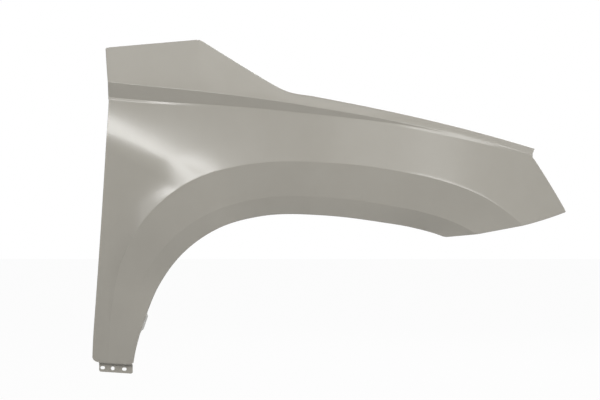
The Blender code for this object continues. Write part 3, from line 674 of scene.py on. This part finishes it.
# Return of the bumper edge, its flat from the middle of the lip band to just short of the nose
bumper_flats = [(last, row) for row in range(BUMPER_STOP_ROWS[0], EDGE_ROW - BUMPER_STOP_ROWS[1])]
places = [(last, row) for row in range(1, EDGE_ROW)]
folds = []
for _, row in places:
    edge, above = sections[last][row], sections[last - 1][row]
    folds.append(fold(edge, edge - above, tilted(UP, LIP_LEAN_ANGLE), BUMPER_RETURN))
bumper_fold = add_fold(places, folds, bumper_flats)

# Joggle inboard under the leg, and the flat tab that is bolted to the sill
places = [(0, row) for row in range(LIP_ROWS + FLARE_ROWS + PANEL_ROWS // 2 + 1)]
tab_depth = max(sections[0][row].y for _, row in places) + SILL_TAB_JOGGLE + 2 * BEND_RADIUS
tab_ends = (sections[0][0].x, sections[0][places[-1][1]].x)
folds = []
for _, row in places:
    edge, above = sections[0][row], sections[1][row]
    step = fold(edge, edge - above, INBOARD, 0.0)[:-1]
    inner = step[-1].copy()
    inner.y = tab_depth - BEND_RADIUS
    from_end = min(abs(edge.x - end) for end in tab_ends)
    cut = max(SILL_TAB_CORNER - from_end, 0.0)
    folds.append(step + [inner] + fold(inner, INBOARD, -UP, SILL_TAB_HEIGHT - cut))
sill_tab = add_fold(places, folds, places)


# Punched holes
#
# Holes and slots are pierced through the flats of the folds after bending: round ones for bolts and
# clips, slots where the panel is adjusted as it is fitted.

BOLT_HOLE = 0.009
PAD_HOLE = 0.011
CLIP_HOLE = 0.0065
SLOT_LENGTH = 0.014
SLOT_WIDTH = 0.007
SILL_SLOT_LENGTH = 0.011
SILL_SLOT_WIDTH = 0.0075
SILL_SLOT_SHARES = (0.25, 0.895)
SILL_BOLT_SHARE = 0.595
BUMPER_SLOT_SHARES = (0.12, 0.36, 0.60, 0.84)
LIP_CLIP_SHARES = (0.30, 0.45, 0.60, 0.75, 0.90)
PAD_HOLE_SHARE = 0.27
ACROSS_SHARE = 0.5
TAB_ACROSS_SHARE = 0.58
HOLE_SIDES = 32
PUNCH_REACH = 0.005

punches = bmesh.new()


def length_shares(columns):
    """Where each column of a fold stands, as a share of the fold's length."""
    lengths = [0.0]
    for left, right in zip(columns, columns[1:]):
        lengths.append(lengths[-1] + (right[-2].co - left[-2].co).length)
    return [length / lengths[-1] for length in lengths]


def slot_outline(length, width):
    """A slot about the origin: two half circles and the straight sides between them."""
    half = HOLE_SIDES // 2
    reach = (length - width) / 2
    outline = []
    for end in (0, 1):
        for step in range(half + 1):
            if end and step in (0, half) and reach == 0:
                continue
            angle = math.pi * (step / half + end) - math.pi / 2
            shift = -reach if end else reach
            outline.append((shift + width / 2 * math.cos(angle), width / 2 * math.sin(angle)))
    return outline


def punch(columns, stops, stop, across, length, width):
    """A punch through the flat of a fold, at a stop along it and a share of the way across the flat."""
    left = min(max(bisect_right(stops, stop) - 1, 0), len(stops) - 2)
    part = (stop - stops[left]) / (stops[left + 1] - stops[left])
    near = columns[left][-2].co.lerp(columns[left + 1][-2].co, part)
    far = columns[left][-1].co.lerp(columns[left + 1][-1].co, part)
    centre = near.lerp(far, across)
    sideways = (far - near).normalized()
    lengthways = columns[left + 1][-2].co - columns[left][-2].co
    lengthways = (lengthways - sideways * lengthways.dot(sideways)).normalized()
    through = lengthways.cross(sideways) * PUNCH_REACH
    outline = [centre + lengthways * x + sideways * y for x, y in slot_outline(length, width)]
    lower = [punches.verts.new(point - through) for point in outline]
    upper = [punches.verts.new(point + through) for point in outline]
    punches.faces.new(lower[::-1])
    punches.faces.new(upper)
    for index in range(len(outline)):
        after = (index + 1) % len(outline)
        punches.faces.new((lower[index], lower[after], upper[after], upper[index]))


for fold_name, columns, start, length, width in (
    ("lip", lip_fold, lip_stations[0], CLIP_HOLE, CLIP_HOLE),
    ("door", door_fold, door_stations[0], BOLT_HOLE, BOLT_HOLE),
    ("corner", corner_fold, corner_stations[0], BOLT_HOLE, BOLT_HOLE),
    ("hood", gutter, first["pad"], SLOT_LENGTH, BOLT_HOLE),
    ("headlamp", headlamp_fold, headlamp_stations[0], BOLT_HOLE, BOLT_HOLE),
):
    name, _, middles, _ = TABS[fold_name]
    for middle in middles:
        stops = reaches[start : start + len(columns)]
        punch(columns, stops, SEGMENTS.index(name) + middle, TAB_ACROSS_SHARE, length, width)

pad_columns = gutter[: first["hood"] - first["pad"] + 1]
for columns, shares, length, width in (
    (lip_fold, LIP_CLIP_SHARES, CLIP_HOLE, CLIP_HOLE),
    (pad_columns, (PAD_HOLE_SHARE,), PAD_HOLE, PAD_HOLE),
    (bumper_fold, BUMPER_SLOT_SHARES, SLOT_LENGTH, SLOT_WIDTH),
    (sill_tab, SILL_SLOT_SHARES, SILL_SLOT_LENGTH, SILL_SLOT_WIDTH),
    (sill_tab, (SILL_BOLT_SHARE,), BOLT_HOLE, BOLT_HOLE),
):
    for share in shares:
        punch(columns, length_shares(columns), share, ACROSS_SHARE, length, width)


# The panel as one piece
#
# The skin and its folds get the sheet's thickness inboard of the primed side, and the punches cut
# through it. It stands for the CAD's fender_panel, which has the same form in fewer faces.

SHEET = 0.0008
SHARP_ANGLE = 50

bmesh.ops.recalc_face_normals(skin, faces=skin.faces)
if sum(face.normal.y * face.calc_area() for face in skin.faces) > 0:
    bmesh.ops.reverse_faces(skin, faces=skin.faces)
bmesh.ops.recalc_face_normals(punches, faces=punches.faces)


def object_from(mesh_data, name):
    mesh = bpy.data.meshes.new(name)
    mesh_data.to_mesh(mesh)
    mesh_data.free()
    item = bpy.data.objects.new(name, mesh)
    bpy.context.scene.collection.objects.link(item)
    return item


fender = object_from(skin, "fender")
cutter = object_from(punches, "hole_punches")
thickness = fender.modifiers.new("sheet_thickness", "SOLIDIFY")
thickness.thickness = SHEET
thickness.offset = -1.0
thickness.use_even_offset = True
holes = fender.modifiers.new("punched_holes", "BOOLEAN")
holes.operation = "DIFFERENCE"
holes.solver = "EXACT"
holes.object = cutter
graph = bpy.context.evaluated_depsgraph_get()
cut_mesh = bpy.data.meshes.new_from_object(fender.evaluated_get(graph))
fender.modifiers.clear()
fender.data = cut_mesh
bpy.data.objects.remove(cutter, do_unlink=True)
cut_mesh.shade_smooth()
cut_mesh.set_sharp_from_angle(angle=math.radians(SHARP_ANGLE))
fender.location = WHEEL_CENTRE


# Dip primer
#
# Cathodic dip primer on the pressed steel: an even, satin, warm grey coat. It pulls thin over the edges,
# which here is drawn only as a soft random mottle of the thin coat's tone, and it holds a faint orange-peel,
# so that highlights are broad with soft borders.

PRIMER_HEX = "#aca89f"
PRIMER_THIN_HEX = "#a7a399"
PRIMER_ROUGHNESS = 0.20
PRIMER_IOR = 1.5
MOTTLE_MM = 60.0
PEEL_MM = 3.0
PEEL_HEIGHT_MM = 0.004


def linear(hex_colour):
    """An sRGB hex colour as linear red, green, blue and alpha."""
    parts = [int(hex_colour[index : index + 2], 16) / 255 for index in (1, 3, 5)]
    return [part / 12.92 if part <= 0.04045 else ((part + 0.055) / 1.055) ** 2.4 for part in parts] + [1.0]


def add_node(tree, kind, settings=(), inputs=(), links=()):
    """A node with its settings, its inputs' values, and links from (node, output) to its inputs."""
    node = tree.nodes.new(kind)
    for name, value in dict(settings).items():
        setattr(node, name, value)
    for name, value in dict(inputs).items():
        node.inputs[name].default_value = value
    for name, (source, output) in dict(links).items():
        tree.links.new(source.outputs[output], node.inputs[name])
    return node


primer = bpy.data.materials.new("dip_primer")
primer.use_nodes = True
tree = primer.node_tree
shader = tree.nodes["Principled BSDF"]
place = add_node(tree, "ShaderNodeTexCoord")
mottle = add_node(
    tree, "ShaderNodeTexNoise",
    inputs={"Scale": 1000 / MOTTLE_MM, "Detail": 3.0, "Roughness": 0.5},
    links={"Vector": (place, "Object")},
)
colour = add_node(
    tree, "ShaderNodeMix", settings={"data_type": "RGBA"},
    links={0: (mottle, "Fac")},
)
colour.inputs[6].default_value = linear(PRIMER_THIN_HEX)
colour.inputs[7].default_value = linear(PRIMER_HEX)
peel = add_node(
    tree, "ShaderNodeTexNoise",
    inputs={"Scale": 1000 / PEEL_MM, "Detail": 1.0},
    links={"Vector": (place, "Object")},
)
bump = add_node(
    tree, "ShaderNodeBump",
    inputs={"Strength": 1.0, "Distance": PEEL_HEIGHT_MM / 1000},
    links={"Height": (peel, "Fac")},
)
tree.links.new(colour.outputs[2], shader.inputs["Base Color"])
tree.links.new(bump.outputs["Normal"], shader.inputs["Normal"])
shader.inputs["Roughness"].default_value = PRIMER_ROUGHNESS
shader.inputs["IOR"].default_value = PRIMER_IOR
shader.inputs["Metallic"].default_value = 0.0
cut_mesh.materials.clear()
cut_mesh.materials.append(primer)

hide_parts("fender_panel")
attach(fender, "root")


# Studio
#
# A plain white floor a little below the panel, and a white room. The camera sees both at full white, as
# do the rays that the primer mirrors, and the panel is lit by the room more softly.

FLOOR_SIZE = 30.0
FLOOR_DROP = 0.25
FLOOR_HEX = "#ffffff"
FLOOR_SHADE_HEX = "#b8b8b8"
FLOOR_GLOW = 0.97
ROOM_STRENGTH = 0.05
ROOM_SEEN_STRENGTH = 1.0


def background_rays(tree):
    """1 for each ray that shows the background: those of the camera, and those mirrored or let through."""
    ray = add_node(tree, "ShaderNodeLightPath")
    direct = add_node(
        tree, "ShaderNodeMath", settings={"operation": "MAXIMUM"},
        links={0: (ray, "Is Camera Ray"), 1: (ray, "Is Glossy Ray")},
    )
    return add_node(
        tree, "ShaderNodeMath", settings={"operation": "MAXIMUM"},
        links={0: (direct, "Value"), 1: (ray, "Is Transmission Ray")},
    )


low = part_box("fender_panel")[0]
floor_mesh = bmesh.new()
bmesh.ops.create_grid(floor_mesh, x_segments=1, y_segments=1, size=FLOOR_SIZE / 2)
floor = object_from(floor_mesh, "floor")
floor.location = (0.0, 0.0, low.z - FLOOR_DROP)
paper = bpy.data.materials.new("white_paper")
paper.use_nodes = True
tree = paper.node_tree
tree.nodes.remove(tree.nodes["Principled BSDF"])
glow = add_node(tree, "ShaderNodeEmission", inputs={"Color": linear(FLOOR_HEX), "Strength": 1.0})
matt = add_node(tree, "ShaderNodeBsdfDiffuse", inputs={"Color": linear(FLOOR_SHADE_HEX)})
share = add_node(
    tree, "ShaderNodeMath", settings={"operation": "MULTIPLY"},
    inputs={1: FLOOR_GLOW}, links={0: (background_rays(tree), "Value")},
)
seen = add_node(
    tree, "ShaderNodeMixShader", links={0: (share, "Value"), 1: (matt, "BSDF"), 2: (glow, "Emission")}
)
tree.links.new(seen.outputs[0], tree.nodes["Material Output"].inputs["Surface"])
floor.data.materials.append(paper)

room = bpy.data.worlds.new("room")
bpy.context.scene.world = room
room.use_nodes = True
tree = room.node_tree
lit = tree.nodes["Background"]
lit.inputs["Color"].default_value = linear(FLOOR_HEX)
lit.inputs["Strength"].default_value = ROOM_STRENGTH
seen = add_node(
    tree, "ShaderNodeBackground", inputs={"Color": linear(FLOOR_HEX), "Strength": ROOM_SEEN_STRENGTH}
)
choice = add_node(
    tree, "ShaderNodeMixShader",
    links={0: (background_rays(tree), "Value"), 1: (lit, "Background"), 2: (seen, "Background")},
)
tree.links.new(choice.outputs[0], tree.nodes["World Output"].inputs["Surface"])


# Lamps
#
# A long soft box on the rear quarter, tilted, whose reflection makes the bright patch on the haunch.
# Wide, weak boxes in front, at both sides, above and behind fill the rest.

LAMP_TARGET = WHEEL_CENTRE + Vector((-0.1, 0.0, 0.55))
# Each row: name, degrees round from the front, degrees up, distance, size, tilt in degrees, watts
LAMPS = (
    ("soft_box", -20, 22, 3.2, (1.8, 0.3), 20, 30.5),
    ("front_fill", 30, 15, 4.0, (3.0, 1.6), 0, 17.0),
    ("nose_fill", 60, 25, 4.0, (3.0, 1.6), 0, 67.0),
    ("door_fill", -50, 20, 4.0, (2.0, 1.6), 0, 19.0),
    ("top_wash", 0, 70, 4.0, (4.0, 4.0), 0, 42.0),
    ("back_fill", 155, 25, 4.0, (3.0, 2.0), 0, 90.0),
)

for name, turn, rise, distance, size, tilt, power in LAMPS:
    lamp_data = bpy.data.lights.new(name, "AREA")
    lamp_data.shape = "RECTANGLE"
    lamp_data.size, lamp_data.size_y = size
    lamp_data.energy = power
    lamp = bpy.data.objects.new(name, lamp_data)
    turn, rise, tilt = math.radians(turn), math.radians(rise), math.radians(tilt)
    toward = Vector((math.sin(turn) * math.cos(rise), -math.cos(turn) * math.cos(rise), math.sin(rise)))
    lamp.location = LAMP_TARGET + toward * distance
    aim = (-toward).to_track_quat("-Z", "Y") @ Quaternion((0.0, 0.0, 1.0), tilt)
    lamp.rotation_euler = aim.to_euler()
    bpy.context.scene.collection.objects.link(lamp)


bpy.context.scene.view_settings.view_transform = "Standard"
